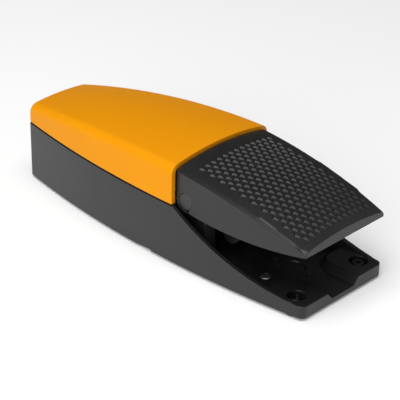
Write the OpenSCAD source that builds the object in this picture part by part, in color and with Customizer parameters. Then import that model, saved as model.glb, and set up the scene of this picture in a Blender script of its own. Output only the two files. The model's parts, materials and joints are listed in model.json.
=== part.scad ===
// Industrial foot switch. A die-cast base carries a switch compartment under a crowned cover at the
// back, and in front an open well with the pedal above it. The pedal turns on a cross pin, and a
// hanging arm on it pushes a plunger through the bulkhead into the contact block.
// Frame: +X to the toe of the pedal, +Z up, origin on the floor under the middle of the base.
// "back" is a distance behind the front face of the base, and heights start at its underside.

/* [Base casting] */
// Length of the base casting
base_len = 234; // [195:1:281]
// Width of the base at its belly
base_w = 80.6; // [67:0.2:97]
// Width of the base at its back
back_w = 49; // [44:0.5:56]
// Distance of the belly behind the front face
belly_back = 88.6; // [75:0.2:105]
// Height of the rim that the cover sits on
rim_h = 36.3; // [30:0.1:44]
// Thickness of the side walls
wall_t = 3; // [2.4:0.1:3.6]
// Thickness of the back wall
rear_t = 4; // [3:0.1:5]
// Thickness of the floor
floor_t = 3.4; // [2.8:0.1:4.2]
// Radius of the upright corners at the front
front_corner_r = 4; // [2:0.5:5]
// Radius of the upright corners at the back
rear_corner_r = 2; // [1:0.5:3]
// Front face of the bulkhead between the well and the switch compartment
bulkhead_back = 97.5; // [97.5:0.5:104]
// Thickness of the bulkhead
bulkhead_t = 4; // [3:0.1:5]

/* [Front deck] */
// Height of the deck pads
deck_h = 7.7; // [7:0.1:9.5]
// Length of the deck pads
deck_len = 28; // [24:0.5:32]
// Width of the channel between the pads at the top
channel_top_w = 26.8; // [22:0.2:32]
// Width of the channel at its floor
channel_floor_w = 19.2; // [14:0.2:21]
// Radius of the inner back corners of the pads
pad_corner_r = 9; // [4:0.5:11]
// Distance of the deck screws behind the front face
deck_screw_back = 11.1; // [10:0.1:13]
// Distance of the deck screws in from the side of the base
deck_screw_in = 9.1; // [8.6:0.1:11]
// Diameter of the counterbores for the deck screws
deck_cbore_d = 11; // [9:0.1:12]

/* [Floor of the well] */
// Diameter of the floor-fixing holes
fixing_d = 6.5; // [5:0.1:8]
// Distance between the two floor-fixing holes
fixing_span = 36; // [30:0.5:42]
// Distance of the floor-fixing holes behind the front face
fixing_back = 41.5; // [38:0.5:46]
// Diameter of the drain holes
drain_d = 3.2; // [2:0.1:4.5]
// Diameter of the shallow recess that the pedal's stop lands in
landing_d = 16; // [12:0.5:18]
// Depth of the landing recess
landing_t = 1; // [0.5:0.1:1.4]
// Distance of the landing recess behind the front face
landing_back = 37; // [35:0.5:40]

/* [Cover] */
// Distance of the cover's front edge behind the front face of the base
cover_back = 94; // [93:0.5:96]
// Wall thickness of the cover
cover_t = 3; // [2.2:0.1:3.4]
// Rise of the crown of the cover above the rim
roof_rise = 28.3; // [24:0.1:33]
// Radius of the crown along the cover
roof_long_r = 603; // [520:1:700]
// Radius of the crown across the cover
roof_cross_r = 194; // [160:1:240]
// Radius of the soft edge between side and crown
edge_r = 6; // [4:0.5:8]
// Thickness of the gasket between base and cover
gasket_t = 0.8; // [0.5:0.1:1.5]

/* [Pedal] */
// Distance of the toe of the pedal behind the front face of the base
toe_back = 0.8; // [0:0.1:4]
// Wall thickness of the pedal
pedal_t = 3.2; // [2.6:0.1:4]
// Clearance between the cheeks and the side walls at the hinge
pedal_gap = 0.3; // [0.3:0.1:2]
// How far the cheeks stand in from the side of the base at the toe
toe_in = 1; // [0.6:0.1:3]
// How far the crown of the pedal lies below the crown of the cover
pedal_drop = 0.9; // [0.8:0.1:2]
// Radius of the crown along the pedal
pedal_long_r = 373; // [320:1:450]
// Radius of the crown across the pedal
pedal_cross_r = 185; // [150:1:230]
// Radius of the sagging lower edge of the cheeks
cheek_r = 272; // [240:1:330]
// Depth of the cheeks below the rim of the base at their lowest
cheek_drop = 4.1; // [3:0.1:5]

/* [Hinge] */
// Diameter of the hinge pin
pin_d = 10; // [8:0.5:12]
// Distance of the hinge pin behind the front face
pivot_back = 86.4; // [85:0.1:87]
// Height of the hinge pin above the rim of the base
pivot_rise = 4.3; // [4:0.1:6]
// Wall of the cheeks round the pin
hub_wall = 2; // [1.5:0.1:2.2]
// Running clearance of the pin in its bushes, on the radius
run_gap = 0.06; // [0.02:0.01:0.09]
// Clearance of parts that are fixed together, on the radius
fit_gap = 0.02; // [0.01:0.01:0.05]

/* [Switch] */
// Height of the plunger's axis
plunger_h = 17; // [15:0.1:18.5]
// Diameter of the plunger
plunger_d = 8; // [6:0.5:10]
// Thickness of the actuator arm
arm_w = 16; // [12:0.5:20]
// Length of the contact block
block_len = 42; // [35:1:51]
// Width of the contact block
block_w = 34; // [30:1:38]

/* [Cable inlet and feet] */
// Diameter of the cable inlet
inlet_d = 20; // [16:0.1:22]
// Diameter of the rubber feet
foot_d = 15; // [12:0.5:16]
// Height of the feet below the base
foot_h = 1.5; // [1:0.1:3]
// Diameter of the M4 screws
screw_d = 4; // [3.5:0.1:4.5]

/* [Hidden] */
$fn = 64;
arc_fn = 720;       // for the long arcs
eps = 0.01;
sink = 0.06;        // corners that end on a circle lie this far inside it
gap = 0.3;          // between faces that touch in use but belong to different moving bodies

front_x = base_len / 2;
function at(back) = front_x - back;

// Side of the base: one long arc, found from its widths at the belly and at the back
side_sag = (base_w - back_w) / 2;
side_run = base_len - belly_back;
side_r = (pow(side_run, 2) + pow(side_sag, 2)) / (2 * side_sag);
function side_y(back, r) = base_w / 2 - side_r + sqrt(pow(r, 2) - pow(back - belly_back, 2));
function half_w(back) = side_y(back, side_r);

// Side wall of the well: a scoop that falls from the rim at the cover to the deck
scoop_start = -2;
scoop_run = cover_back - scoop_start;
scoop_r = (pow(scoop_run, 2) + pow(rim_h - deck_h, 2)) / (2 * (rim_h - deck_h));
lip_back = 8;       // the rim of the scoop has died out into the deck here

bulkhead_end = bulkhead_back + bulkhead_t;
roof_h = rim_h + roof_rise;
roof_back = 100;    // the crown of the cover is highest here
cover_z = rim_h + gasket_t;
side_step = 0.2;    // the cover stands in from the base by this
function roof_z(back) =
    roof_h - roof_long_r + sqrt(pow(roof_long_r, 2) - pow(back - roof_back, 2));

pivot_h = rim_h + pivot_rise;
pivot_x = at(pivot_back);
pin_r = pin_d / 2;
hub_r = pin_r + hub_wall;
pedal_apex_back = 120;
pedal_axis_h = roof_h - pedal_drop - pedal_long_r;
pedal_back = cover_back - 0.7;
cheek_y = half_w(pivot_back) - wall_t - pedal_gap;
toe_y = half_w(toe_back) - toe_in;
pedal_side_run = pivot_back - toe_back;
pedal_side_r = (pow(pedal_side_run, 2) + pow(cheek_y - toe_y, 2)) / (2 * (cheek_y - toe_y));
function pedal_y(back) =
    cheek_y - pedal_side_r + sqrt(pow(pedal_side_r, 2) - pow(back - pivot_back, 2));
function pedal_z(back) =
    pedal_axis_h + sqrt(pow(pedal_long_r, 2) - pow(pedal_apex_back - back, 2));
cheek_low_back = 54;
hub_boss = 1.3;     // extra thickness of the cheeks round the pin
rib_t = 2.4;
cross_ribs = [20, 50];

bush_flange_t = 1;
bush_wall = 1.5;
lug_t = 8;
lug_r = pin_r + bush_wall + 2;
lug_y1 = cheek_y - pedal_t - hub_boss - 0.5 - bush_flange_t;
lug_y0 = lug_y1 - lug_t;
ring_t = 1.2;

press_angle = 14;   // full travel of the pedal
nose_r = 6.3;       // rounded lower end of the actuator arm
nose_back = pivot_back - 8.7;
nose_h = 12.3;
cam_r = 4.2;        // rounded pad on the back of the arm that meets the plunger
cam_back = pivot_back - 3;
shank_r = 6.5;
arm_hub_r = pin_r + 2.5;
arm_flange_h = pivot_h + arm_hub_r - 0.2;
arm_flange_t = 4;
arm_screw_back = [66, 74];
arm_flange_end = 5; // from the outer screw to the end of the flange
tail_drop = 4.3;    // the flat tail of the arm lies this far below the pin's axis
tail_back = bulkhead_back - 1.5;

spring_back = 62;
spring_r = 5.2;     // mean radius of the coil
wire_d = 1.5;
spring_guide_r = spring_r - wire_d / 2 - 0.35;
spring_seat_t = 1.6;
spring_guide_h = 4;
spring_cup_r = spring_r + 2;
spring_y = arm_w / 2 + spring_cup_r + 1; // the spring stands beside the arm
spring_cup_h = pivot_h - 3;
spring_cup_deep = 4;
spring_z0 = floor_t + spring_seat_t;
spring_turns = 7;
seat_gap = 0.05;

stop_h = 16.4;      // tip of the stop above the underside of the base, pedal at rest
stop_r = 4.6;
stop_tip = 3;       // length of the rubber below its post
stop_stem_r = 2;
stop_stem = 5;

screw_r = screw_d / 2;
head_d = 7;
head_h = screw_d;
hex_af = 3;
screw_clear = 0.25;
deck_screw_y = half_w(deck_screw_back) - deck_screw_in;
cbore_depth = deck_h - floor_t;
pillar_r = 5.6;
pillar_bite = 1;    // how far a pillar goes into the side wall
pillar_backs = [bulkhead_end + 8.5, base_len - rear_t - 24];
pillar_at = [for (back = pillar_backs) [back, half_w(back) - wall_t - pillar_r + pillar_bite]];
pillar_cap = 8;     // solid top of a pillar
cover_screw_len = 20;
rear_foot = [base_len - 12, back_w / 2 - 9];
foot_sink = 1;
drain_off = 12.5;   // drain holes before and behind the landing recess

rest_pad_t = 2;
rest_pad_len = bulkhead_back - pivot_back - arm_hub_r + 0.4;
ledge_h = pivot_h - tail_drop - gap - rest_pad_t;
ledge_t = 2;
guide_r = plunger_d / 2 + 3;
guide_flange_t = 1.5;
guide_flange_r = guide_r + 1.5;
guide_nut_t = 3;
guide_nut_r = guide_r + 3.5;
seal_r = plunger_d / 2 + 1.8;
seal_t = 1.2;
head_t = 2;
head_back = cam_back + cam_r + gap;
block_back = bulkhead_end + 12.5;
block_z0 = floor_t + 1.6;
block_h = 2 * (plunger_h - block_z0);
block_top = block_z0 + block_h;
block_cap_t = 3;
chamber_w = 14;
chamber_end = 8;    // solid ends of the block, before and behind the chamber
travel = (pivot_h - plunger_h) * press_angle * PI / 180;
carrier_rod_r = 2.5;
yoke_back = block_back + 20;
yoke_h = 10;
bridge_t = 1;
term_y = block_w / 2 - 5;
term_backs = [block_back + 11, block_back + block_len - 11];
term_pocket = 7;    // depth of the terminal pockets below the top of the block
rod_end = block_back - travel - gap;
boss_len = 6;       // the inlet's boss inside the back wall
inlet_boss_r = inlet_d / 2 + 3;
block_end = block_back + block_len;
plate_over = 3;     // the plate reaches this far past both ends of the block
earth_share = 26 / 68; // the earth post's place between the block and the inlet's boss
earth_back = block_end + earth_share * (base_len - rear_t - boss_len - block_end);
earth_y = -12;
earth_h = 6;
earth_post_r = 4.5;
clamp_t = 1.2;
block_screw_r = screw_r - 0.5;
term_screw_r = 1.5;
block_screw_in = 4;
block_screw_at = [[block_back + block_screw_in, term_y], [block_end - block_screw_in, -term_y]];

module lift() {
    translate([0, 0, foot_h])
        children();
}

// Draws in the XZ plane and gives it a thickness from y0 to y1
module upright(y0, y1) {
    translate([0, y1, 0])
        rotate([90, 0, 0])
            linear_extrude(y1 - y0)
                children();
}

module both_sides() {
    for (side = [-1, 1])
        scale([1, side, 1])
            children();
}

// A bar between two round ends, as thick as y0 to y1; the ends are given as [back, height]
module bar(a, ra, b, rb, y0, y1) {
    pa = [at(a[0]), a[1]];
    pb = [at(b[0]), b[1]];
    run = norm(pb - pa);
    dir = (pb - pa) / run;
    side = [-dir[1], dir[0]];
    lean = (ra - rb) / run;
    n1 = lean * dir + sqrt(1 - lean * lean) * side;
    n2 = lean * dir - sqrt(1 - lean * lean) * side;
    upright(y0, y1)
        translate(pa)
            circle(r = ra);
    upright(y0, y1)
        translate(pb)
            circle(r = rb);
    upright(y0, y1)
        polygon([pa + (ra - sink) * n1, pb + (rb - sink) * n1, pb + (rb - sink) * n2,
            pa + (ra - sink) * n2]);
}

// A cylinder along X from one station to another further back
module along(r, from, to, y = 0, z = 0) {
    translate([at(to), y, z])
        rotate([0, 90, 0])
            cylinder(r = r, h = to - from);
}

module plan(inset = 0, from = 0, to = base_len) {
    intersection() {
        translate([at(belly_back), side_r - base_w / 2])
            circle(r = side_r - inset, $fn = arc_fn);
        translate([at(belly_back), base_w / 2 - side_r])
            circle(r = side_r - inset, $fn = arc_fn);
        translate([at(to), -base_w])
            square([to - from, 2 * base_w]);
    }
}

// What a rounded upright corner takes off the plan; end is 1 at the front and -1 at the back
module corner_off(back, r, end) {
    mid = back + end * r;
    mid_y = side_y(mid, side_r - r);
    lean = asin(abs(mid - belly_back) / (side_r - r));
    reach = r + 1;
    for (side = [-1, 1])
        translate([at(mid), side * mid_y])
            scale([end, side])
                difference() {
                    polygon([[0, 0], [reach, 0], [reach, reach], [reach * tan(lean), reach]]);
                    circle(r = r);
                }
}

module base_plan() {
    difference() {
        plan();
        corner_off(0, front_corner_r, 1);
        corner_off(base_len, rear_corner_r, -1);
    }
}

// The hollow of the well between the side walls and out through the front
module well() {
    translate([0, 0, floor_t])
        linear_extrude(rim_h)
            plan(wall_t, lip_back, bulkhead_back);
    translate([0, 0, floor_t])
        linear_extrude(rim_h)
            difference() {
                plan(0, -1, deck_len);
                side_strip();
            }
}

// The strip along both sides of the front that carries the foot of the scooped side walls
module side_strip() {
    difference() {
        plan(-1, lip_back, deck_len + 1);
        plan(wall_t, lip_back, deck_len + 1);
    }
}

// Raised pads left and right of the channel; their inner sides, backs and corners are drafted
module deck_pads() {
    draft = (channel_top_w - channel_floor_w) / 2;
    rise = deck_h - floor_t;
    corner_back = deck_len - pad_corner_r;
    corner_y = channel_top_w / 2 + pad_corner_r;
    z0 = floor_t - 1;
    intersection() {
        both_sides() {
            translate([at(corner_back), 0, 0])
                rotate([90, 0, 90])
                    linear_extrude(corner_back + 1)
                        polygon([[channel_floor_w / 2 - draft / rise, z0], [base_w, z0],
                            [base_w, deck_h], [channel_top_w / 2, deck_h]]);
            translate([0, base_w, 0])
                rotate([90, 0, 0])
                    linear_extrude(base_w - corner_y)
                        polygon([[at(deck_len + draft * (rise + 1) / rise), z0], [at(-1), z0],
                            [at(-1), deck_h], [at(deck_len), deck_h]]);
            translate([at(corner_back), corner_y, z0])
                cylinder(r1 = pad_corner_r + draft * (rise + 1) / rise, r2 = pad_corner_r,
                    h = rise + 1);
        }
        linear_extrude(rim_h)
            base_plan();
    }
}

module hinge_lug() {
    upright(lug_y0, lug_y1) {
        translate([pivot_x, pivot_h])
            circle(r = lug_r);
        polygon([[pivot_x + lug_r, pivot_h], [pivot_x + lug_r + 4, floor_t - 1],
            [at(bulkhead_back + 1), floor_t - 1], [at(bulkhead_back + 1), rim_h - 1],
            [at(bulkhead_back), rim_h - 1], [pivot_x - lug_r, pivot_h]]);
    }
}

// Ledge on the bulkhead for the rest pad, with a sloping gusset that ends above the guide's flange
module rest_ledge() {
    edge = bulkhead_back - rest_pad_len - 0.6;
    upright(-arm_w / 2, arm_w / 2)
        polygon([[at(bulkhead_back + 1), ledge_h], [at(edge), ledge_h], [at(edge), ledge_h - ledge_t],
            [at(bulkhead_back + 1), plunger_h + guide_r + 3]]);
}

module pillars() {
    both_sides()
        for (p = pillar_at)
            translate([at(p[0]), p[1], 0])
                cylinder(r = pillar_r, h = rim_h);
}

module pillar_bores() {
    both_sides()
        for (p = pillar_at)
            translate([at(p[0]), p[1], 0]) {
                translate([0, 0, -1])
                    cylinder(r = screw_r + screw_clear, h = rim_h + 2);
                translate([0, 0, -1])
                    cylinder(d = head_d + 1, h = rim_h - pillar_cap + 1);
            }
}

module deck_bores() {
    both_sides()
        translate([at(deck_screw_back), deck_screw_y, 0]) {
            translate([0, 0, -1])
                cylinder(r = screw_r + screw_clear, h = deck_h + 2);
            translate([0, 0, deck_h - cbore_depth])
                cylinder(d = deck_cbore_d, h = cbore_depth + 2);
        }
}

module floor_holes() {
    both_sides()
        translate([at(fixing_back), fixing_span / 2, -1])
            cylinder(d = fixing_d, h = floor_t + 2);
    for (side = [-1, 1])
        translate([at(landing_back + side * drain_off), 0, -1])
            cylinder(d = drain_d, h = floor_t + 2);
    translate([at(landing_back), 0, floor_t - landing_t])
        cylinder(d = landing_d, h = floor_t);
}

module foot_recesses() {
    both_sides() {
        translate([at(deck_screw_back), deck_screw_y, -1])
            cylinder(d = foot_d + 0.4, h = foot_sink + 1);
        translate([at(rear_foot[0]), rear_foot[1], -1]) {
            cylinder(d = foot_d + 0.4, h = foot_sink + 1);
            cylinder(r = screw_r, h = floor_t);
        }
    }
}

// Shallow finger scoops in the lower edge of both sides at mid length
module side_scoops() {
    arch_w = 14;
    arch_h = 1.6;
    arch_r = (pow(arch_w / 2, 2) + pow(arch_h, 2)) / (2 * arch_h);
    both_sides()
        upright(half_w(base_len / 2) - 1, half_w(base_len / 2) + 2)
            translate([0, arch_h - arch_r])
                circle(r = arch_r);
}

module base_casting() {
    color([0.13, 0.135, 0.145])
        lift()
            difference() {
                union() {
                    difference() {
                        linear_extrude(rim_h)
                            base_plan();
                        upright(-base_w, base_w)
                            translate([at(scoop_start), deck_h + scoop_r])
                                circle(r = scoop_r, $fn = arc_fn);
                        well();
                        translate([0, 0, floor_t])
                            linear_extrude(rim_h)
                                plan(wall_t, bulkhead_end, base_len - rear_t);
                    }
                    deck_pads();
                    both_sides()
                        hinge_lug();
                    rest_ledge();
                    pillars();
                    along(inlet_boss_r, base_len - rear_t - boss_len, base_len - rear_t + 1,
                        z = rim_h / 2);
                    translate([at(earth_back), earth_y, floor_t - 1])
                        cylinder(r = earth_post_r, h = earth_h + 1);
                    translate([at(spring_back), spring_y, floor_t - 1])
                        cylinder(r = spring_r + wire_d / 2 + 0.6, h = spring_seat_t + 1);
                    translate([at(spring_back), spring_y, floor_t - 1])
                        cylinder(r = spring_guide_r, h = spring_seat_t + spring_guide_h);
                }
                pillar_bores();
                deck_bores();
                floor_holes();
                foot_recesses();
                side_scoops();
                along(inlet_d / 2, base_len - rear_t - boss_len - 1, base_len + 1, z = rim_h / 2);
                along(guide_r + fit_gap, bulkhead_back - 1, bulkhead_end + 1, z = plunger_h);
                translate([pivot_x, lug_y1 + 1, pivot_h])
                    rotate([90, 0, 0])
                        cylinder(r = pin_r + bush_wall + fit_gap, h = 2 * lug_y1 + 2);
                translate([at(earth_back), earth_y, floor_t])
                    cylinder(r = screw_r, h = earth_h + 1);
                block_screw_holes();
            }
}

module block_screw_holes() {
    for (p = block_screw_at)
        translate([at(p[0]), p[1], 1])
            cylinder(r = block_screw_r, h = floor_t);
}

// Section of the cover at a station: two upright sides, soft edges and the crown, all moved in
// by the same inset, from z0 up
function section(back, inset, z0) =
    let (w = half_w(back) - side_step - inset,
        r = edge_r - min(inset, edge_r - 1),
        big = roof_cross_r - inset,
        mid_z = roof_z(back) - roof_cross_r,
        cy = w - r,
        cz = mid_z + sqrt(pow(big - r, 2) - pow(cy, 2)),
        tilt = asin(cy / (big - r)))
    concat([[w, z0]],
        [for (i = [0:5]) [cy + r * cos((90 - tilt) * i / 5), cz + r * sin((90 - tilt) * i / 5)]],
        [for (i = [1:9]) [big * sin(tilt * (1 - i / 5)), mid_z + big * cos(tilt * (1 - i / 5))]],
        [for (i = [5:-1:0])
            [-cy - r * cos((90 - tilt) * i / 5), cz + r * sin((90 - tilt) * i / 5)]],
        [[-w, z0]]);

module slice(back, inset, z0) {
    translate([at(back), 0, 0])
        rotate([90, 0, 90])
            linear_extrude(eps)
                polygon(section(back, inset, z0));
}

// Hull of slices: every section and both long arcs are convex, so this is the true form
module crowned_block(from, to, steps, inset, z0, round_end = 0) {
    hull() {
        for (i = [0:steps])
            slice(from + (to - round_end - from) * i / steps, inset, z0);
        if (round_end > 0)
            for (a = [30, 60, 90])
                slice(to - round_end * (1 - sin(a)), inset + round_end * (1 - cos(a)), z0);
    }
}

module top_cover() {
    color([0.93, 0.58, 0.03])
        lift() {
            difference() {
                crowned_block(cover_back, base_len, 12, 0, cover_z, rear_corner_r);
                crowned_block(bulkhead_end, base_len - cover_t, 10, cover_t, cover_z - 1);
                crowned_block(cover_back - 1, bulkhead_back, 1, cover_t, cover_z - 1);
            }
            cover_bosses();
        }
}

module cover_bosses() {
    both_sides()
        for (p = pillar_at)
            translate([at(p[0]), p[1], cover_z])
                difference() {
                    cylinder(r = pillar_r - 0.8,
                        h = roof_z(p[0]) - pow(p[1], 2) / (2 * roof_cross_r) - cover_t / 2 - cover_z);
                    translate([0, 0, -1])
                        cylinder(r = screw_r + fit_gap, h = cover_screw_len - pillar_cap + 2);
                }
}

module cover_gasket() {
    color([0.05, 0.05, 0.05])
        lift()
            translate([0, 0, rim_h])
                linear_extrude(gasket_t)
                    difference() {
                        plan(0.8, bulkhead_back + 0.5, base_len - 0.8);
                        plan(wall_t - 0.5, bulkhead_end - 0.5, base_len - rear_t + 0.5);
                    }
}

// Round head with a screwdriver slot across its top
module slotted_head(r, h) {
    slot_w = 0.8;
    difference() {
        cylinder(r = r, h = h);
        translate([-r - 1, -slot_w / 2, h * 0.6])
            cube([2 * r + 2, slot_w, h]);
    }
}

// Socket head cap screw, with its head's underside at the origin and the shank below
module cap_screw(len, head_r = head_d / 2, h = head_h) {
    difference() {
        union() {
            translate([0, 0, -len])
                cylinder(r = screw_r, h = len + eps);
            cylinder(r = head_r, h = h);
        }
        translate([0, 0, h / 2])
            cylinder(d = hex_af / cos(30), h = h, $fn = 6);
    }
}

module cover_screws() {
    color([0.55, 0.56, 0.58])
        lift()
            both_sides()
                for (p = pillar_at)
                    translate([at(p[0]), p[1], rim_h - pillar_cap])
                        mirror([0, 0, 1])
                            cap_screw(cover_screw_len);
}

module deck_screws() {
    color([0.1, 0.1, 0.105])
        lift()
            both_sides()
                translate([at(deck_screw_back), deck_screw_y, floor_t])
                    cap_screw(floor_t + 1, h = 3.4);
}

module foot_nuts() {
    color([0.6, 0.6, 0.62])
        lift()
            both_sides()
                translate([at(deck_screw_back), deck_screw_y, -foot_h + 0.3])
                    difference() {
                        cylinder(d = head_d, h = foot_h, $fn = 6);
                        translate([0, 0, -1])
                            cylinder(r = screw_r + fit_gap, h = foot_h + 2);
                    }
}

module rear_foot_screws() {
    color([0.6, 0.6, 0.62])
        lift()
            both_sides()
                translate([at(rear_foot[0]), rear_foot[1], foot_sink - foot_h + 0.3])
                    mirror([0, 0, 1])
                        cap_screw(floor_t - foot_sink, h = 0.6 + 0.5);
}

module foot() {
    difference() {
        translate([0, 0, -foot_h])
            cylinder(d = foot_d, h = foot_h + foot_sink);
        translate([0, 0, -foot_h - 1])
            cylinder(r = screw_r + screw_clear, h = foot_h + foot_sink + 2);
        translate([0, 0, -foot_h - 1])
            cylinder(d = head_d + 0.6, h = foot_h + 1.3);
    }
}

module feet() {
    color([0.03, 0.03, 0.03])
        lift()
            both_sides() {
                translate([at(deck_screw_back), deck_screw_y, 0])
                    foot();
                translate([at(rear_foot[0]), rear_foot[1], 0])
                    foot();
            }
}

// Space under a doubly crowned surface of the pedal, moved down by an inset
module barrel(inset) {
    depth = 80;
    translate([at(pedal_apex_back), 0, pedal_axis_h])
        rotate([90, -62, 0])
            rotate_extrude(angle = 30, $fn = arc_fn)
                intersection() {
                    translate([pedal_long_r - pedal_cross_r, 0])
                        circle(r = pedal_cross_r - inset, $fn = arc_fn);
                    translate([pedal_long_r - depth, -base_w])
                        square([depth + 1, 2 * base_w]);
                }
}

module pedal_plan(inset, from, to) {
    intersection() {
        translate([at(pivot_back), pedal_side_r - cheek_y])
            circle(r = pedal_side_r - inset, $fn = arc_fn);
        translate([at(pivot_back), cheek_y - pedal_side_r])
            circle(r = pedal_side_r - inset, $fn = arc_fn);
        translate([at(to), -base_w])
            square([to - from, 2 * base_w]);
    }
}

// Side view of the cheeks
module cheek_profile() {
    intersection() {
        translate([at(cheek_low_back), rim_h - cheek_drop + cheek_r])
            circle(r = cheek_r, $fn = arc_fn);
        translate([pivot_x, 0])
            square([pivot_back, 2 * roof_h]);
    }
    translate([at(pedal_back), pivot_h])
        square([pedal_back - pivot_back + eps, roof_rise]);
    translate([pivot_x, pivot_h])
        circle(r = hub_r);
}

module pedal() {
    color([0.12, 0.12, 0.125])
        lift()
            difference() {
                union() {
                    difference() {
                        intersection() {
                            translate([0, 0, rim_h - 10])
                                linear_extrude(roof_rise + 12)
                                    pedal_plan(0, toe_back, pedal_back);
                            upright(-base_w, base_w)
                                cheek_profile();
                            barrel(0);
                        }
                        intersection() {
                            translate([0, 0, rim_h - 11])
                                linear_extrude(roof_rise + 12)
                                    pedal_plan(pedal_t, toe_back + pedal_t, pedal_back + 1);
                            barrel(pedal_t);
                        }
                    }
                    pedal_inside();
                }
                translate([pivot_x, base_w, pivot_h])
                    rotate([90, 0, 0])
                        cylinder(r = pin_r + fit_gap, h = 2 * base_w);
                pedal_sockets();
            }
}

// Hub bosses, ribs, the arm's boss, the spring cup and the stop rib, all cast in one with the pedal
module pedal_inside() {
    both_sides()
        upright(cheek_y - pedal_t - hub_boss, cheek_y - 1)
            translate([pivot_x, pivot_h])
                circle(r = hub_r - 0.5);
    intersection() {
        union() {
            translate([at(arm_screw_back[1] + arm_flange_end), -arm_w / 2,
                arm_flange_h + arm_flange_t])
                cube([arm_screw_back[1] - arm_screw_back[0] + 2 * arm_flange_end, arm_w,
                    roof_rise]);
            translate([at(spring_back), spring_y, spring_cup_h])
                cylinder(r = spring_cup_r, h = roof_rise);
            translate([at(landing_back), 0, stop_h + stop_tip])
                cylinder(r = stop_r, h = 2 * roof_rise);
            upright(-rib_t / 2, rib_t / 2)
                polygon([[at(arm_screw_back[0] - arm_flange_end - 1), roof_h],
                    [at(toe_back + 1), roof_h], [at(toe_back + 1), pedal_z(1) - 6.5],
                    [at(landing_back - stop_r), rim_h], [at(landing_back - 2), stop_h + stop_tip + 4],
                    [at(landing_back + 2), stop_h + stop_tip + 4],
                    [at(landing_back + stop_r + 2), rim_h],
                    [at(arm_screw_back[0] - arm_flange_end - 1), arm_flange_h]]);
            for (back = cross_ribs)
                translate([at(back) - rib_t / 2, -cheek_y, rim_h + 6])
                    cube([rib_t, 2 * cheek_y, roof_rise]);
        }
        intersection() {
            linear_extrude(2 * roof_h)
                pedal_plan(1, toe_back + 1, pedal_back);
            barrel(1);
        }
    }
}

// Holes in the pedal for the arm's screws, the spring's top turn and the stem of the stop
module pedal_sockets() {
    for (back = arm_screw_back)
        translate([at(back), 0, arm_flange_h])
            cylinder(r = screw_r, h = arm_flange_t + 5);
    translate([at(spring_back), spring_y, spring_cup_h - 1])
        cylinder(r = spring_r + wire_d / 2 + 0.3, h = spring_cup_deep + 1);
    translate([at(landing_back), 0, stop_h])
        cylinder(r = stop_stem_r, h = stop_tip + stop_stem);
}

module hinge_pin() {
    color([0.11, 0.11, 0.115])
        lift()
            translate([pivot_x, cheek_y - 0.3, pivot_h])
                rotate([90, 0, 0])
                    cylinder(r = pin_r, h = 2 * cheek_y - 0.6);
}

module hinge_bushes() {
    color([0.62, 0.5, 0.3])
        lift()
            both_sides()
                translate([pivot_x, lug_y1 + bush_flange_t, pivot_h])
                    rotate([90, 0, 0])
                        difference() {
                            union() {
                                cylinder(r = lug_r, h = bush_flange_t);
                                cylinder(r = pin_r + bush_wall, h = lug_t + bush_flange_t);
                            }
                            translate([0, 0, -1])
                                cylinder(r = pin_r + run_gap, h = lug_t + bush_flange_t + 2);
                        }
}

module retaining_rings() {
    color([0.5, 0.5, 0.52])
        lift()
            both_sides()
                translate([pivot_x, lug_y0 - gap, pivot_h])
                    rotate([90, 0, 0])
                        difference() {
                            cylinder(r = pin_r + 2.5, h = ring_t);
                            translate([0, 0, -1])
                                cylinder(r = pin_r + fit_gap, h = ring_t + 2);
                        }
}

// Lever with a hub on the pin, a flange under the pedal, a tail behind and a round nose below
module arm_body() {
    y0 = -arm_w / 2;
    y1 = arm_w / 2;
    flange_from = at(arm_screw_back[1] + arm_flange_end);
    flange_len = arm_screw_back[1] - arm_screw_back[0] + 2 * arm_flange_end;
    upright(y0, y1)
        translate([pivot_x, pivot_h])
            circle(r = arm_hub_r);
    bar([pivot_back, pivot_h], shank_r, [nose_back, nose_h], nose_r, y0, y1);
    bar([nose_back, nose_h], nose_r, [cam_back, plunger_h], cam_r, y0, y1);
    translate([flange_from, y0, arm_flange_h])
        cube([flange_len, arm_w, arm_flange_t]);
    upright(y0, y1)
        polygon([[pivot_x - 4, pivot_h], [pivot_x + arm_hub_r - 1, pivot_h],
            [flange_from + 1, arm_flange_h + arm_flange_t],
            [pivot_x - 1, arm_flange_h + arm_flange_t]]);
    upright(y0, y1)
        polygon([[pivot_x, pivot_h - tail_drop], [at(tail_back), pivot_h - tail_drop],
            [at(tail_back), pivot_h], [pivot_x, pivot_h + 6]]);
}

module actuator_arm() {
    color([0.74, 0.75, 0.76])
        lift()
            difference() {
                arm_body();
                translate([pivot_x, arm_w, pivot_h])
                    rotate([90, 0, 0])
                        cylinder(r = pin_r + fit_gap, h = 2 * arm_w);
                for (back = arm_screw_back)
                    translate([at(back), 0, arm_flange_h - 1])
                        cylinder(r = screw_r + screw_clear, h = arm_flange_t + 2);
            }
}

module arm_screws() {
    color([0.6, 0.6, 0.62])
        lift()
            for (back = arm_screw_back)
                translate([at(back), 0, arm_flange_h])
                    mirror([0, 0, 1])
                        cap_screw(arm_flange_t + 4, h = 3);
}

// One coil swept along a helix whose end turns lie flat: ring after ring of points round the wire
module coil(turns, r, wire_r, height, per_turn = 20, sides = 8) {
    rings = turns * per_turn;
    function rise(t) = height * (t < 1 ? t * t / 2 * wire_r / height :
        wire_r / height / 2 + (1 - wire_r / height) * (t - 1) / (turns - 2));
    function level(t) = t <= turns / 2 ? rise(t) : height - rise(turns - t);
    points = [for (i = [0:rings], j = [0:sides - 1])
        let (a = 360 * i / per_turn, b = 360 * j / sides, d = r + wire_r * cos(b))
        [d * cos(a), d * sin(a), level(i / per_turn) + wire_r * sin(b)]];
    skin = [for (i = [0:rings - 1], j = [0:sides - 1])
        let (k = (j + 1) % sides)
        [i * sides + j, i * sides + k, (i + 1) * sides + k, (i + 1) * sides + j]];
    ends = [[for (j = [sides - 1:-1:0]) j], [for (j = [0:sides - 1]) rings * sides + j]];
    polyhedron(points, concat(skin, ends));
}

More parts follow.
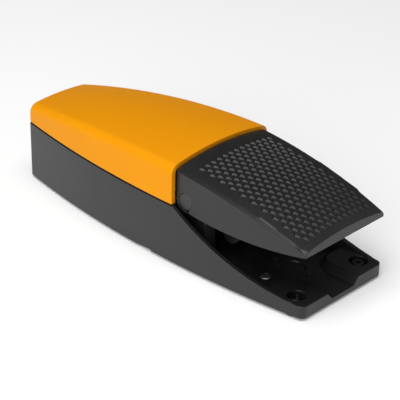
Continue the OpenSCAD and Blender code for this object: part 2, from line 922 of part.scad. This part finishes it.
module return_spring() {
    wire_r = wire_d / 2;
    color([0.12, 0.12, 0.13])
        lift()
            translate([at(spring_back), spring_y, spring_z0 + wire_r + seat_gap])
                coil(spring_turns, spring_r, wire_r,
                    spring_cup_h + spring_cup_deep - spring_z0 - wire_d - 2 * seat_gap);
}

// Rubber stop on the pedal's post, with its stem in the post
module stop_buffer() {
    color([0.05, 0.05, 0.05])
        lift()
            translate([at(landing_back), 0, stop_h]) {
                cylinder(r1 = stop_r - 1.5, r2 = stop_r, h = stop_tip);
                cylinder(r = stop_stem_r, h = stop_tip + stop_stem);
            }
}

module rest_pad() {
    color([0.05, 0.05, 0.05])
        lift()
            translate([at(bulkhead_back), 2 - arm_w / 2, ledge_h])
                cube([rest_pad_len, arm_w - 4, rest_pad_t]);
}

module plunger() {
    color([0.85, 0.84, 0.8])
        lift() {
            along(plunger_d / 2 + 1.5, head_back, head_back + head_t, z = plunger_h);
            along(plunger_d / 2, head_back, rod_end, z = plunger_h);
        }
}

module plunger_guide() {
    color([0.7, 0.58, 0.32])
        lift()
            difference() {
                union() {
                    along(guide_flange_r, bulkhead_back - guide_flange_t, bulkhead_back,
                        z = plunger_h);
                    along(guide_r, bulkhead_back, bulkhead_end + guide_nut_t + 1, z = plunger_h);
                }
                along(plunger_d / 2 + run_gap, bulkhead_back - 5, bulkhead_end + 9, z = plunger_h);
                along(seal_r, bulkhead_back - 5, bulkhead_back - guide_flange_t + seal_t,
                    z = plunger_h);
            }
}

module guide_nut() {
    color([0.7, 0.58, 0.32])
        lift()
            difference() {
                translate([at(bulkhead_end + guide_nut_t), 0, plunger_h])
                    rotate([0, 90, 0])
                        cylinder(r = guide_nut_r, h = guide_nut_t, $fn = 6);
                along(guide_r + fit_gap, bulkhead_end - 1, bulkhead_end + guide_nut_t + 1,
                    z = plunger_h);
            }
}

module plunger_seal() {
    color([0.06, 0.06, 0.06])
        lift()
            difference() {
                along(seal_r, bulkhead_back - guide_flange_t,
                    bulkhead_back - guide_flange_t + seal_t, z = plunger_h);
                along(plunger_d / 2 + run_gap, bulkhead_back - 9, bulkhead_back, z = plunger_h);
            }
}

module block_plate() {
    color([0.68, 0.69, 0.7])
        lift()
            difference() {
                translate([at(block_end + plate_over), 2 - block_w / 2, floor_t])
                    cube([block_len + 2 * plate_over, block_w - 4, block_z0 - floor_t]);
                for (p = block_screw_at)
                    translate([at(p[0]), p[1], 0])
                        cylinder(r = screw_r + screw_clear, h = block_z0 + 1);
            }
}

// Housing of the contact block: a middle chamber for the carrier, a tower for each terminal
module block_housing() {
    color([0.12, 0.12, 0.13])
        lift()
            difference() {
                translate([at(block_end), -block_w / 2, block_z0])
                    cube([block_len, block_w, block_h]);
                translate([at(block_end - chamber_end), -chamber_w / 2, block_z0 + 3])
                    cube([block_len - 2 * chamber_end, chamber_w, block_h]);
                translate([at(block_end + 1), -chamber_w / 2, block_top - block_cap_t])
                    cube([block_len + 2, chamber_w, block_cap_t + 1]);
                along(carrier_rod_r + run_gap, block_back - 1, block_end - 3, z = plunger_h);
                terminal_pockets();
                for (p = block_screw_at)
                    translate([at(p[0]), p[1], block_z0 - 1])
                        cylinder(r = block_screw_r + screw_clear, h = block_h + 2);
            }
}

module terminal_pockets() {
    both_sides()
        for (back = term_backs)
            translate([at(back) - 4, term_y - 4, block_top - term_pocket])
                cube([8, block_w, term_pocket + 1]);
}

module block_lid() {
    color([0.75, 0.75, 0.72])
        lift()
            difference() {
                translate([at(block_end - 0.2), 0.2 - chamber_w / 2, block_top - block_cap_t])
                    cube([block_len - 0.4, chamber_w - 0.4, block_cap_t]);
                for (side = [-1, 1])
                    translate([at(block_back + block_len / 2 + side * 12), -chamber_w / 2,
                        block_top - 0.8])
                        cube([2, chamber_w, 2]);
            }
}

module contact_carrier() {
    color([0.8, 0.25, 0.15])
        lift() {
            along(carrier_rod_r, rod_end + gap, block_end - 4 - travel, z = plunger_h);
            translate([at(yoke_back), -4, plunger_h - yoke_h / 2])
                cube([8, 8, yoke_h]);
        }
}

module moving_bridges() {
    color([0.72, 0.45, 0.25])
        lift()
            for (z = [plunger_h - yoke_h / 2 - bridge_t, plunger_h + yoke_h / 2])
                translate([at(yoke_back - 1.5), -6.5, z])
                    cube([5, 13, bridge_t]);
}

module fixed_contacts() {
    color([0.72, 0.45, 0.25])
        lift()
            both_sides()
                for (back = term_backs)
                    translate([at(back) - 3.5, term_y - 3.9, block_top - term_pocket])
                        cube([7, 7, bridge_t]);
}

module terminal_clamps() {
    color([0.7, 0.7, 0.72])
        lift()
            both_sides()
                for (back = term_backs)
                    translate([at(back), term_y, block_top - term_pocket + 2])
                        difference() {
                            translate([-3.4, -3.4, 0])
                                cube([6.8, 6.8, clamp_t]);
                            translate([0, 0, -1])
                                cylinder(r = term_screw_r + screw_clear, h = clamp_t + 2);
                        }
}

module terminal_screws() {
    color([0.7, 0.7, 0.72])
        lift()
            both_sides()
                for (back = term_backs)
                    translate([at(back), term_y, block_top - term_pocket + bridge_t]) {
                        cylinder(r = term_screw_r, h = 3);
                        translate([0, 0, clamp_t + 1])
                            slotted_head(2.8, 2);
                    }
}

module block_screws() {
    color([0.6, 0.6, 0.62])
        lift()
            for (p = block_screw_at)
                translate([at(p[0]), p[1], block_top]) {
                    translate([0, 0, -block_h - 2.8])
                        cylinder(r = block_screw_r, h = block_h + 2.8 + eps);
                    slotted_head(3, 2);
                }
}

module earth_clamp() {
    color([0.7, 0.7, 0.72])
        lift()
            translate([at(earth_back), earth_y, floor_t + earth_h])
                difference() {
                    translate([-earth_post_r, -earth_post_r, 0])
                        cube([2 * earth_post_r, 2 * earth_post_r, clamp_t]);
                    translate([0, 0, -1])
                        cylinder(r = screw_r + screw_clear, h = clamp_t + 2);
                }
}

module earth_screw() {
    color([0.7, 0.7, 0.72])
        lift()
            translate([at(earth_back), earth_y, floor_t + earth_h + clamp_t]) {
                translate([0, 0, -earth_h])
                    cylinder(r = screw_r, h = earth_h + eps);
                slotted_head(head_d / 2, 2.4);
            }
}

base_casting();
top_cover();
cover_gasket();
cover_screws();
pedal();
hinge_pin();
hinge_bushes();
retaining_rings();
actuator_arm();
arm_screws();
return_spring();
stop_buffer();
rest_pad();
plunger();
plunger_guide();
guide_nut();
plunger_seal();
block_plate();
block_housing();
block_lid();
contact_carrier();
moving_bridges();
fixed_contacts();
terminal_clamps();
terminal_screws();
block_screws();
earth_clamp();
earth_screw();
feet();
deck_screws();
foot_nuts();
rear_foot_screws();
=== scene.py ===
# %% [markdown]
# # Industrial foot switch
# The switch is a low cast base with a crowned yellow cover over its switch compartment. A black
# pedal with small studs turns on a cross pin in front of it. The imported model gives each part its
# place and size in metres, so every new piece is measured from that model's own boxes.

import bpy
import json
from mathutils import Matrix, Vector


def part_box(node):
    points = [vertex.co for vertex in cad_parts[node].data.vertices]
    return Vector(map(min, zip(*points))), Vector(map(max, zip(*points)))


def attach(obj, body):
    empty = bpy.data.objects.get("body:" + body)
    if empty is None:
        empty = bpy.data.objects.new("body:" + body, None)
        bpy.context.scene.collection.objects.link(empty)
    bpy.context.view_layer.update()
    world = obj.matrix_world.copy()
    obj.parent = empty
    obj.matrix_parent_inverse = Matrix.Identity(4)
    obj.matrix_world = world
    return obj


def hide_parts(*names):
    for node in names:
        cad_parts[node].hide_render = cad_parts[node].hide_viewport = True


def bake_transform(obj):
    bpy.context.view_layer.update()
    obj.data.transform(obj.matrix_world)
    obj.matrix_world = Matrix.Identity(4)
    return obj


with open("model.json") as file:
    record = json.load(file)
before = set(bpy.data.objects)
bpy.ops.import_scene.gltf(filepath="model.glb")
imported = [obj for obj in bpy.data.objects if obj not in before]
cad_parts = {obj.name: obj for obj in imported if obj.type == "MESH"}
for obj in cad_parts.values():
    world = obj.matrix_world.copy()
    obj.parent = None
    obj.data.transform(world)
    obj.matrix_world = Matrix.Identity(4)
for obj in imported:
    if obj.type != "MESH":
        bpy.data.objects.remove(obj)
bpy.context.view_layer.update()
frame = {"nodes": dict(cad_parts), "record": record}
print("parts in the packed model:", len(frame["nodes"]))

# %% [markdown]
# Blender's own modules come next. `bmesh` holds the modelling operators, and `Vector` the little
# vector arithmetic that is needed. The stations of this product run backwards from the front face
# of the base, so one short function turns "millimetres behind the front" into an X in metres.

# %% Modules and stations
import json
import math
import bmesh
import bpy
from mathutils import Matrix, Vector

MM = 0.001
base_low, base_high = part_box("base_casting")
underside = base_low.z
front_x = base_high.x


def station(back):
    """X of a place that lies this many millimetres behind the front face of the base."""
    return front_x - back * MM


print("base", [round(v / MM, 1) for v in base_high - base_low], "mm")

# %% [markdown]
# A finish is a small graph of nodes. Written out by hand it is long, so one class wraps a socket
# and lets Python's own signs build Math nodes, and one method makes any other node: its type
# first, then its settings, then its inputs.


# %% Sockets that can be added and multiplied
class Signal:
    """An output socket of a shader graph, with arithmetic that makes Math nodes."""

    def __init__(self, tree, socket):
        self.tree, self.socket = tree, socket

    def math(self, operation, other, swap=False):
        made = self.tree.nodes.new("ShaderNodeMath")
        made.operation = operation
        pair = (other, self) if swap else (self, other)
        for place, value in enumerate(pair):
            if isinstance(value, Signal):
                self.tree.links.new(value.socket, made.inputs[place])
            else:
                made.inputs[place].default_value = value
        return Signal(self.tree, made.outputs[0])

    def __add__(self, other):
        return self.math("ADD", other)

    __radd__ = __add__

    def __sub__(self, other):
        return self.math("SUBTRACT", other)

    def __rsub__(self, other):
        return self.math("SUBTRACT", other, swap=True)

    def __mul__(self, other):
        return self.math("MULTIPLY", other)

    __rmul__ = __mul__

    def __truediv__(self, other):
        return self.math("DIVIDE", other)

    def __pow__(self, other):
        return self.math("POWER", other)


class Finish:
    """A material with one Principled shader, and the method that adds nodes to its graph."""

    def __init__(self, name, **constants):
        self.material = bpy.data.materials.new(name)
        self.material.use_nodes = True
        self.tree = self.material.node_tree
        self.shader = self.tree.nodes["Principled BSDF"]
        for socket, value in constants.items():
            self.shader.inputs[socket.replace("_", " ")].default_value = value

    def node(self, kind, settings=None, inputs=None, out=0):
        made = self.tree.nodes.new("ShaderNode" + kind)
        for key, value in (settings or {}).items():
            setattr(made, key, value)
        for key, value in (inputs or {}).items():
            if isinstance(value, Signal):
                self.tree.links.new(value.socket, made.inputs[key])
            else:
                made.inputs[key].default_value = value
        return Signal(self.tree, made.outputs[out])

    def place(self):
        return self.node("TexCoord", out="Object")

    def noise(self, scale, detail=3.0, where=None):
        return self.node("TexNoise", inputs={"Vector": where or self.place(), "Scale": scale,
            "Detail": detail}, out="Fac")

    def blend(self, factor, first, second):
        mixed = self.node("Mix", {"data_type": "RGBA"}, {"Factor": factor}, out=2)
        made = mixed.socket.node
        made.inputs[6].default_value = (*first, 1)
        made.inputs[7].default_value = (*second, 1)
        return mixed

    def feed(self, socket, signal):
        self.tree.links.new(signal.socket, self.shader.inputs[socket])

    def bump(self, height, strength, distance):
        made = self.node("Bump", inputs={"Height": height, "Strength": strength,
            "Distance": distance})
        self.feed("Normal", made)


print("the graph helpers are ready")

# %% [markdown]
# Powder coat is sprayed dry and melted, so it sets with a fine orange-peel skin. Under a lamp the
# skin shows as a soft, slightly uneven sheen. A fine noise drives a shallow bump, a broad one
# moves the roughness, and the colour drifts by a few per cent between two close tones.


# %% Sprayed finishes
def sprayed(name, dark, light, rough, gloss=0.5, peel=0.05):
    """Powder coat: two close tones, an uneven sheen and orange peel."""
    coat = Finish(name, Specular_IOR_Level=gloss)
    cloud = coat.noise(38.0, 4.0)
    skin = coat.noise(1500.0, 2.0)
    speck = coat.noise(5200.0, 1.0)
    coat.feed("Base Color", coat.blend(cloud * 0.7 + speck * 0.3, dark, light))
    coat.feed("Roughness", (cloud - 0.5) * 0.10 + (skin - 0.5) * 0.12 + rough)
    coat.bump(skin * 0.7 + speck * 0.3, peel, 0.0004)
    return coat.material


black_coat = sprayed("black_powder_coat", (0.008, 0.008, 0.0085), (0.014, 0.014, 0.0145), 0.36)
yellow_coat = sprayed("yellow_powder_coat", (0.78, 0.285, 0.0006), (0.83, 0.310, 0.001), 0.50,
    gloss=0.10)
print("coats:", black_coat.name, yellow_coat.name)

# %% [markdown]
# Metal parts inside and below are plain: zinc plate with a faint spangle, oiled black steel, a
# sand-cast alloy with a pitted skin, sintered bronze and turned brass. Each takes the same recipe
# with its own tones, roughness and grain size.


# %% Metals, rubber and mouldings
def metal(name, dark, light, rough, grain):
    """Bare or plated metal: a grain that moves colour, roughness and surface."""
    bare = Finish(name, Metallic=1.0)
    flecks = bare.noise(grain, 5.0)
    cloud = bare.noise(60.0, 3.0)
    bare.feed("Base Color", bare.blend(flecks * 0.6 + cloud * 0.4, dark, light))
    bare.feed("Roughness", (flecks - 0.5) * 0.2 + (cloud - 0.5) * 0.1 + rough)
    bare.bump(flecks, 0.12, 0.0003)
    return bare.material


def moulded(name, dark, light, rough, grain, depth=0.10):
    """Rubber or plastic: fine moulded texture, never quite one colour."""
    soft = Finish(name, Specular_IOR_Level=0.45)
    pores = soft.noise(grain, 4.0)
    cloud = soft.noise(55.0, 3.0)
    soft.feed("Base Color", soft.blend(cloud * 0.6 + pores * 0.4, dark, light))
    soft.feed("Roughness", (cloud - 0.5) * 0.08 + (pores - 0.5) * 0.14 + rough)
    soft.bump(pores, depth, 0.0003)
    return soft.material


finishes = {
    "black_paint": black_coat,
    "yellow_paint": yellow_coat,
    "zinc_steel": metal("zinc_plate", (0.50, 0.51, 0.54), (0.66, 0.67, 0.69), 0.34, 900.0),
    "black_steel": metal("black_oxide", (0.055, 0.055, 0.058), (0.10, 0.10, 0.105), 0.36, 1400.0),
    "light_alloy": metal("cast_alloy", (0.42, 0.43, 0.44), (0.60, 0.61, 0.62), 0.50, 1100.0),
    "bronze": metal("sintered_bronze", (0.30, 0.18, 0.08), (0.46, 0.29, 0.13), 0.48, 2200.0),
    "brass": metal("turned_brass", (0.52, 0.37, 0.14), (0.66, 0.49, 0.22), 0.30, 1300.0),
    "rubber": moulded("black_rubber", (0.012, 0.012, 0.012), (0.022, 0.022, 0.021), 0.72, 1700.0),
    "black_plastic": moulded("black_moulding", (0.02, 0.02, 0.02), (0.034, 0.034, 0.035), 0.5, 2000.0),
    "grey_plastic": moulded("grey_moulding", (0.42, 0.42, 0.40), (0.54, 0.54, 0.51), 0.5, 2000.0),
    "red_plastic": moulded("red_moulding", (0.42, 0.05, 0.02), (0.56, 0.09, 0.03), 0.45, 2000.0),
}
slot_of = {node: entry["slot"] for entry in frame["record"].get("materials", [])
    for node in entry.get("nodes", [])}
for node, part in frame["nodes"].items():
    for place, old in enumerate(part.data.materials):
        name = old.name.split(".")[0]
        slot_of[node] = name
        part.data.materials[place] = finishes[name]
print("finishes given to", len(slot_of), "parts")

# %% [markdown]
# Real edges are never knife-sharp: a casting has a small radius, and the lamp draws it as a thin
# bright line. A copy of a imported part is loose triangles, so its doubles are merged first, the
# flat faces are dissolved back to single faces, and only then are the sharp edges bevelled. A
# Weighted Normal modifier lets the large faces decide the shading, so flat faces look flat.


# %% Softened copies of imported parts
def finish_piece(made, name, body, slot, smooth=35.0):
    """Turns a bmesh into an object that rides on a body and wears a slot's finish."""
    mesh = bpy.data.meshes.new(name)
    made.to_mesh(mesh)
    made.free()
    mesh.materials.clear()
    mesh.materials.append(finishes[slot])
    mesh.shade_smooth()
    mesh.set_sharp_from_angle(angle=math.radians(smooth))
    piece = bpy.data.objects.new(name, mesh)
    bpy.context.scene.collection.objects.link(piece)
    even = piece.modifiers.new("even_shading", "WEIGHTED_NORMAL")
    even.mode, even.weight, even.keep_sharp = "FACE_AREA", 50, True
    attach(piece, body)
    print(name, len(mesh.polygons), "faces, rides on", body)
    return piece


def merged_copy(node):
    """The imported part's triangles as one closed mesh with its flat faces whole again."""
    made = bmesh.new()
    made.from_mesh(frame["nodes"][node].data)
    bmesh.ops.remove_doubles(made, verts=made.verts, dist=2e-6)
    bmesh.ops.dissolve_limit(made, angle_limit=math.radians(0.3), verts=made.verts,
        edges=made.edges)
    return made


def soften(made, width, segments=2, angle=30.0):
    """Rounds every edge that is sharper than the angle by this many millimetres."""
    sharp = [e for e in made.edges if e.is_manifold and e.calc_face_angle(0) > math.radians(angle)]
    bmesh.ops.bevel(made, geom=sharp, offset=width * MM, offset_type="OFFSET", affect="EDGES",
        segments=segments, profile=0.5, material=-1, clamp_overlap=False)
    return made


base_shell = finish_piece(soften(merged_copy("base_casting"), 0.4), "base_shell", "base",
    "black_paint")
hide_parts("base_casting")

# %% [markdown]
# The pedal is one casting: a crown curved both ways, curved cheeks at the sides and round ends
# about the hinge pin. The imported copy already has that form. Where the crown meets the cheeks the
# real edge is a flat band, so those edges are cut by a wide bevel first, and the rest are softened
# like the base.

# %% Pedal and small turned parts
BAND = 1.5
pedal_cast = merged_copy("pedal")


def crown_edge(edge):
    """True on the two long edges where the outer crown meets an outer cheek."""
    normals = [face.normal for face in edge.link_faces]
    return (edge.is_manifold and max(n.z for n in normals) > 0.85
        and max(abs(n.y) for n in normals) > 0.9)


band_edges = [e for e in pedal_cast.edges if crown_edge(e)]
bmesh.ops.bevel(pedal_cast, geom=band_edges, offset=BAND * MM, offset_type="OFFSET",
    affect="EDGES", segments=1, profile=0.5, material=-1, clamp_overlap=False)
print("edges cut to a band:", len(band_edges))
pedal_shell = finish_piece(soften(pedal_cast, 0.4), "pedal_shell", "pedal", "black_paint")
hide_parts("pedal")
for node, body, width in (("deck_screws", "base", 0.22), ("hinge_pin", "pedal", 0.25),
        ("feet", "base", 0.25), ("actuator_arm", "pedal", 0.3), ("stop_buffer", "pedal", 0.3)):
    piece = finish_piece(soften(merged_copy(node), width), node + "_soft", body, slot_of[node])
    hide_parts(node)

# %% [markdown]
# The studs give the shoe its grip. Each is a low diamond with a flat top, cast with the pedal, in
# staggered rows over the crown. One stud is a few faces: a four-sided cone with its point cut
# off. It is copied to every place in the field and lifted onto the crown, whose height at a place
# follows from its two radii.

# %% Studs on the crown
CROWN_LONG, CROWN_ACROSS = 373.0, 185.0
CROWN_BACK, CROWN_AXIS = 120.0, -309.3
ROW_STEP, STUD_STEP = 7.8125, 4.695
STUD_LONG, STUD_WIDE, STUD_HIGH, STUD_TOP = 3.10, 1.86, 0.85, 0.50
foot_height = -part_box("feet")[0].z / MM + 1.5


def crown_z(back, y):
    """Height of the crown above the floor, in millimetres, over a station and a width."""
    across = CROWN_LONG - CROWN_ACROSS + math.sqrt(CROWN_ACROSS**2 - y**2)
    return CROWN_AXIS + math.sqrt(across**2 - (CROWN_BACK - back) ** 2) + foot_height


def add_stud(field, back, y):
    """One diamond stud, its foot just under the crown and square to it."""
    grown = bmesh.ops.create_cone(field, cap_ends=True, segments=4, radius1=1.0,
        radius2=STUD_TOP, depth=1.0)["verts"]
    slope_x = (crown_z(back - 1, y) - crown_z(back + 1, y)) / 2
    slope_y = (crown_z(back, y + 1) - crown_z(back, y - 1)) / 2
    for corner in grown:
        x, w, up = corner.co.x * STUD_LONG, corner.co.y * STUD_WIDE, corner.co.z + 0.5
        rise = up * (STUD_HIGH + 0.15) - 0.15 + x * slope_x + w * slope_y
        corner.co = Vector((station(back) + x * MM, (y + w) * MM,
            (crown_z(back, y) + rise) * MM))


field = bmesh.new()
for row in range(10):
    for k in range(-6, 6):
        add_stud(field, 8.25 + ROW_STEP * row, STUD_STEP * (k + 0.5))
    for k in range(-6, 7):
        add_stud(field, 8.25 + ROW_STEP * (row + 0.5), STUD_STEP * k)
studs = finish_piece(field, "grip_studs", "pedal", "black_paint", smooth=20.0)
print("studs:", 10 * (12 + 13))

# %% [markdown]
# The cover is a thin crowned shell. Its sides stand upright on the same long arc as the base, a
# soft edge runs all round, and the roof is curved along and across. A flat grid is bent into that
# form: one direction runs along the stations, the other from one lower rim over the crown to the
# other. The back is one face with a bevelled rim, and a Solidify modifier gives the wall, so the
# open front shows it as a band.

# %% Form of the cover
BASE_HALF, SIDE_ARC, BELLY = 40.3, 676.9, 88.6
COVER_FRONT, COVER_END = 94.0, 234.0
COVER_WALL, COVER_EDGE, COVER_STEP = 3.0, 6.0, 0.2
ROOF_LONG, ROOF_ACROSS, ROOF_BACK = 603.0, 194.0, 100.0
roof_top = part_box("top_cover")[1].z / MM
cover_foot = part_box("top_cover")[0].z / MM


def half_width(back):
    """Half the width of the base at a station."""
    return BASE_HALF - SIDE_ARC + math.sqrt(SIDE_ARC**2 - (back - BELLY) ** 2)


def cover_point(back, q):
    """A place on the cover: q is 0 on the crown and 1 at the lower rim, less than 0 on one side."""
    wide = half_width(back) - COVER_STEP
    mid = roof_top - ROOF_LONG + math.sqrt(ROOF_LONG**2 - (back - ROOF_BACK) ** 2) - ROOF_ACROSS
    inner = ROOF_ACROSS - COVER_EDGE
    edge_y = wide - COVER_EDGE
    edge_z = mid + math.sqrt(inner**2 - edge_y**2)
    tilt = math.asin(edge_y / inner)
    turn, side = abs(q), math.copysign(1, q)
    if turn <= 0.55:
        a = tilt * turn / 0.55
        y, z = ROOF_ACROSS * math.sin(a), mid + ROOF_ACROSS * math.cos(a)
    elif turn <= 0.8:
        a = tilt + (math.pi / 2 - tilt) * (turn - 0.55) / 0.25
        y, z = edge_y + COVER_EDGE * math.sin(a), edge_z + COVER_EDGE * math.cos(a)
    else:
        y, z = wide, edge_z + (cover_foot - edge_z) * (turn - 0.8) / 0.2
    return Vector((station(back), side * y * MM, z * MM))


cover = bmesh.new()
bmesh.ops.create_grid(cover, x_segments=40, y_segments=80, size=1.0)
for v in cover.verts:
    v.co = cover_point(COVER_FRONT + (COVER_END - COVER_FRONT) * (v.co.x + 1) / 2, v.co.y)
rear = [e for e in cover.edges if all(abs(v.co.x - station(COVER_END)) < 1e-6 for v in e.verts)]
bmesh.ops.contextual_create(cover, geom=rear)
bmesh.ops.recalc_face_normals(cover, faces=cover.faces)
if max(cover.faces, key=lambda f: f.calc_center_median().z).normal.z < 0:
    bmesh.ops.reverse_faces(cover, faces=cover.faces)
bmesh.ops.bevel(cover, geom=rear, offset=1.8 * MM, offset_type="OFFSET", affect="EDGES",
    segments=4, profile=0.5, material=-1, clamp_overlap=False)
print("cover skin:", len(cover.faces), "faces")

# %% [markdown]
# The wall and the small edge radii come from two modifiers. Their result is made a plain mesh,
# so that every tool after this one sees the same shape.


# %% Wall and rims of the cover
def walled(made, wall, edge):
    """Gives a skin its wall, inwards, and rounds its rims; returns the result as a bmesh."""
    mesh = bpy.data.meshes.new("skin")
    made.to_mesh(mesh)
    made.free()
    skin = bpy.data.objects.new("skin", mesh)
    bpy.context.scene.collection.objects.link(skin)
    solid = skin.modifiers.new("wall", "SOLIDIFY")
    solid.thickness, solid.offset, solid.use_even_offset = wall * MM, -1.0, True
    rim = skin.modifiers.new("rim", "BEVEL")
    rim.width, rim.segments, rim.limit_method = edge * MM, 2, "ANGLE"
    rim.angle_limit = math.radians(50)
    rim.use_clamp_overlap = False
    built = bpy.data.meshes.new_from_object(
        skin.evaluated_get(bpy.context.evaluated_depsgraph_get()))
    done = bmesh.new()
    done.from_mesh(built)
    bpy.data.objects.remove(skin)
    bpy.data.meshes.remove(built)
    return done


cover_wall = walled(cover, COVER_WALL, 0.3)
for back in (110.0, 206.0):
    for side in (-1, 1):
        y = side * (half_width(back) - 7.6)
        top = roof_top - (back - ROOF_BACK) ** 2 / (2 * ROOF_LONG) - y**2 / (2 * ROOF_ACROSS) - 1.5
        bmesh.ops.create_cone(cover_wall, cap_ends=True, segments=32, radius1=4.8 * MM,
            radius2=4.8 * MM, depth=(top - cover_foot) * MM, matrix=Matrix.Translation(
            (station(back), y * MM, (top + cover_foot) / 2 * MM)))
cover_shell = finish_piece(cover_wall, "cover_shell", "base", "yellow_paint", 40.0)
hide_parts("top_cover")

# %% [markdown]
# The return spring stands on the floor and ends in a cup under the pedal. Its lowest coil stays
# with the base and its highest moves with the pedal. The copy here is merged, takes the spring's
# finish and smooth shading, and has its place baked into its mesh; it rides on neither body.

# %% Return spring
coil = merged_copy("return_spring")
coil_mesh = bpy.data.meshes.new("return_coil")
coil.to_mesh(coil_mesh)
coil.free()
coil_mesh.materials.clear()
coil_mesh.materials.append(finishes[slot_of["return_spring"]])
coil_mesh.shade_smooth()
coil_mesh.set_sharp_from_angle(angle=math.radians(50))
spring = bpy.data.objects.new("return_coil", coil_mesh)
bpy.context.scene.collection.objects.link(spring)
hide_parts("return_spring")
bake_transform(spring)

# %% [markdown]
# The stage is a plain pale floor, large enough to fill the view. Soft light comes from big area
# lamps: one high at the left, one low in front of the near side, and a weak one behind, so the
# upright sides look lighter than the top. A dim even sky fills the rest.


# %% Floor, lamps and sky
def lamp(name, where, look_at, size, power):
    """A square area lamp that faces a point."""
    data = bpy.data.lights.new(name, "AREA")
    data.shape, data.size, data.energy = "SQUARE", size, power
    made = bpy.data.objects.new(name, data)
    made.location = where
    made.rotation_euler = (Vector(look_at) - Vector(where)).to_track_quat("-Z", "Y").to_euler()
    bpy.context.scene.collection.objects.link(made)
    return made


ground = bmesh.new()
bmesh.ops.create_grid(ground, x_segments=2, y_segments=2, size=6.0)
floor_mesh = bpy.data.meshes.new("studio_floor")
ground.to_mesh(floor_mesh)
ground.free()
paper = Finish("white_paper", Roughness=0.9, Emission_Color=(1, 1, 1, 1),
    Emission_Strength=0.15)
paper.feed("Base Color", paper.blend(paper.noise(3.0), (0.90, 0.90, 0.90), (0.92, 0.92, 0.92)))
floor_mesh.materials.append(paper.material)
studio_floor = bpy.data.objects.new("studio_floor", floor_mesh)
bpy.context.scene.collection.objects.link(studio_floor)

middle = (0.02, 0.0, 0.03)
lamp("high_left", (0.1, -0.5, 1.9), middle, 1.8, 34)
lamp("near_side", (0.5, -1.6, 0.7), middle, 1.4, 18.5)
lamp("far_fill", (0.3, 1.8, 1.6), middle, 1.2, 2)
sky = bpy.data.worlds.new("studio_sky")
sky.use_nodes = True
sky.node_tree.nodes["Background"].inputs["Color"].default_value = (1, 1, 1, 1)
sky.node_tree.nodes["Background"].inputs["Strength"].default_value = 0.08
bpy.context.scene.world = sky
bpy.context.scene.view_settings.view_transform = "Standard"
print("lamps and floor are set")

# %% [markdown]
# The camera stands high at the right front, with a long lens from under a metre away, so the
# sides of the switch run almost parallel. Its place comes from the angle it looks along.

# %% Camera
CAMERA_RIGHT = Vector((0.72268, 0.69102, 0.01472))
CAMERA_UP = Vector((-0.33459, 0.33113, 0.88227))
CAMERA_BACK = Vector((0.60479, -0.64253, 0.47051))
aim = Vector((0.04195, -0.03686, 0.04762))
eye = bpy.data.cameras.new("camera")
eye.lens, eye.sensor_width, eye.sensor_fit = 138.74, 36.0, "HORIZONTAL"
eye.clip_start, eye.clip_end = 0.05, 30.0
camera = bpy.data.objects.new("camera", eye)
bpy.context.scene.collection.objects.link(camera)
turn = Matrix((CAMERA_RIGHT, CAMERA_UP, CAMERA_BACK)).transposed()
camera.matrix_world = Matrix.Translation(aim + CAMERA_BACK * 0.85289) @ turn.to_4x4()
bpy.context.scene.camera = camera
print("camera at", [round(v, 3) for v in camera.matrix_world.translation])
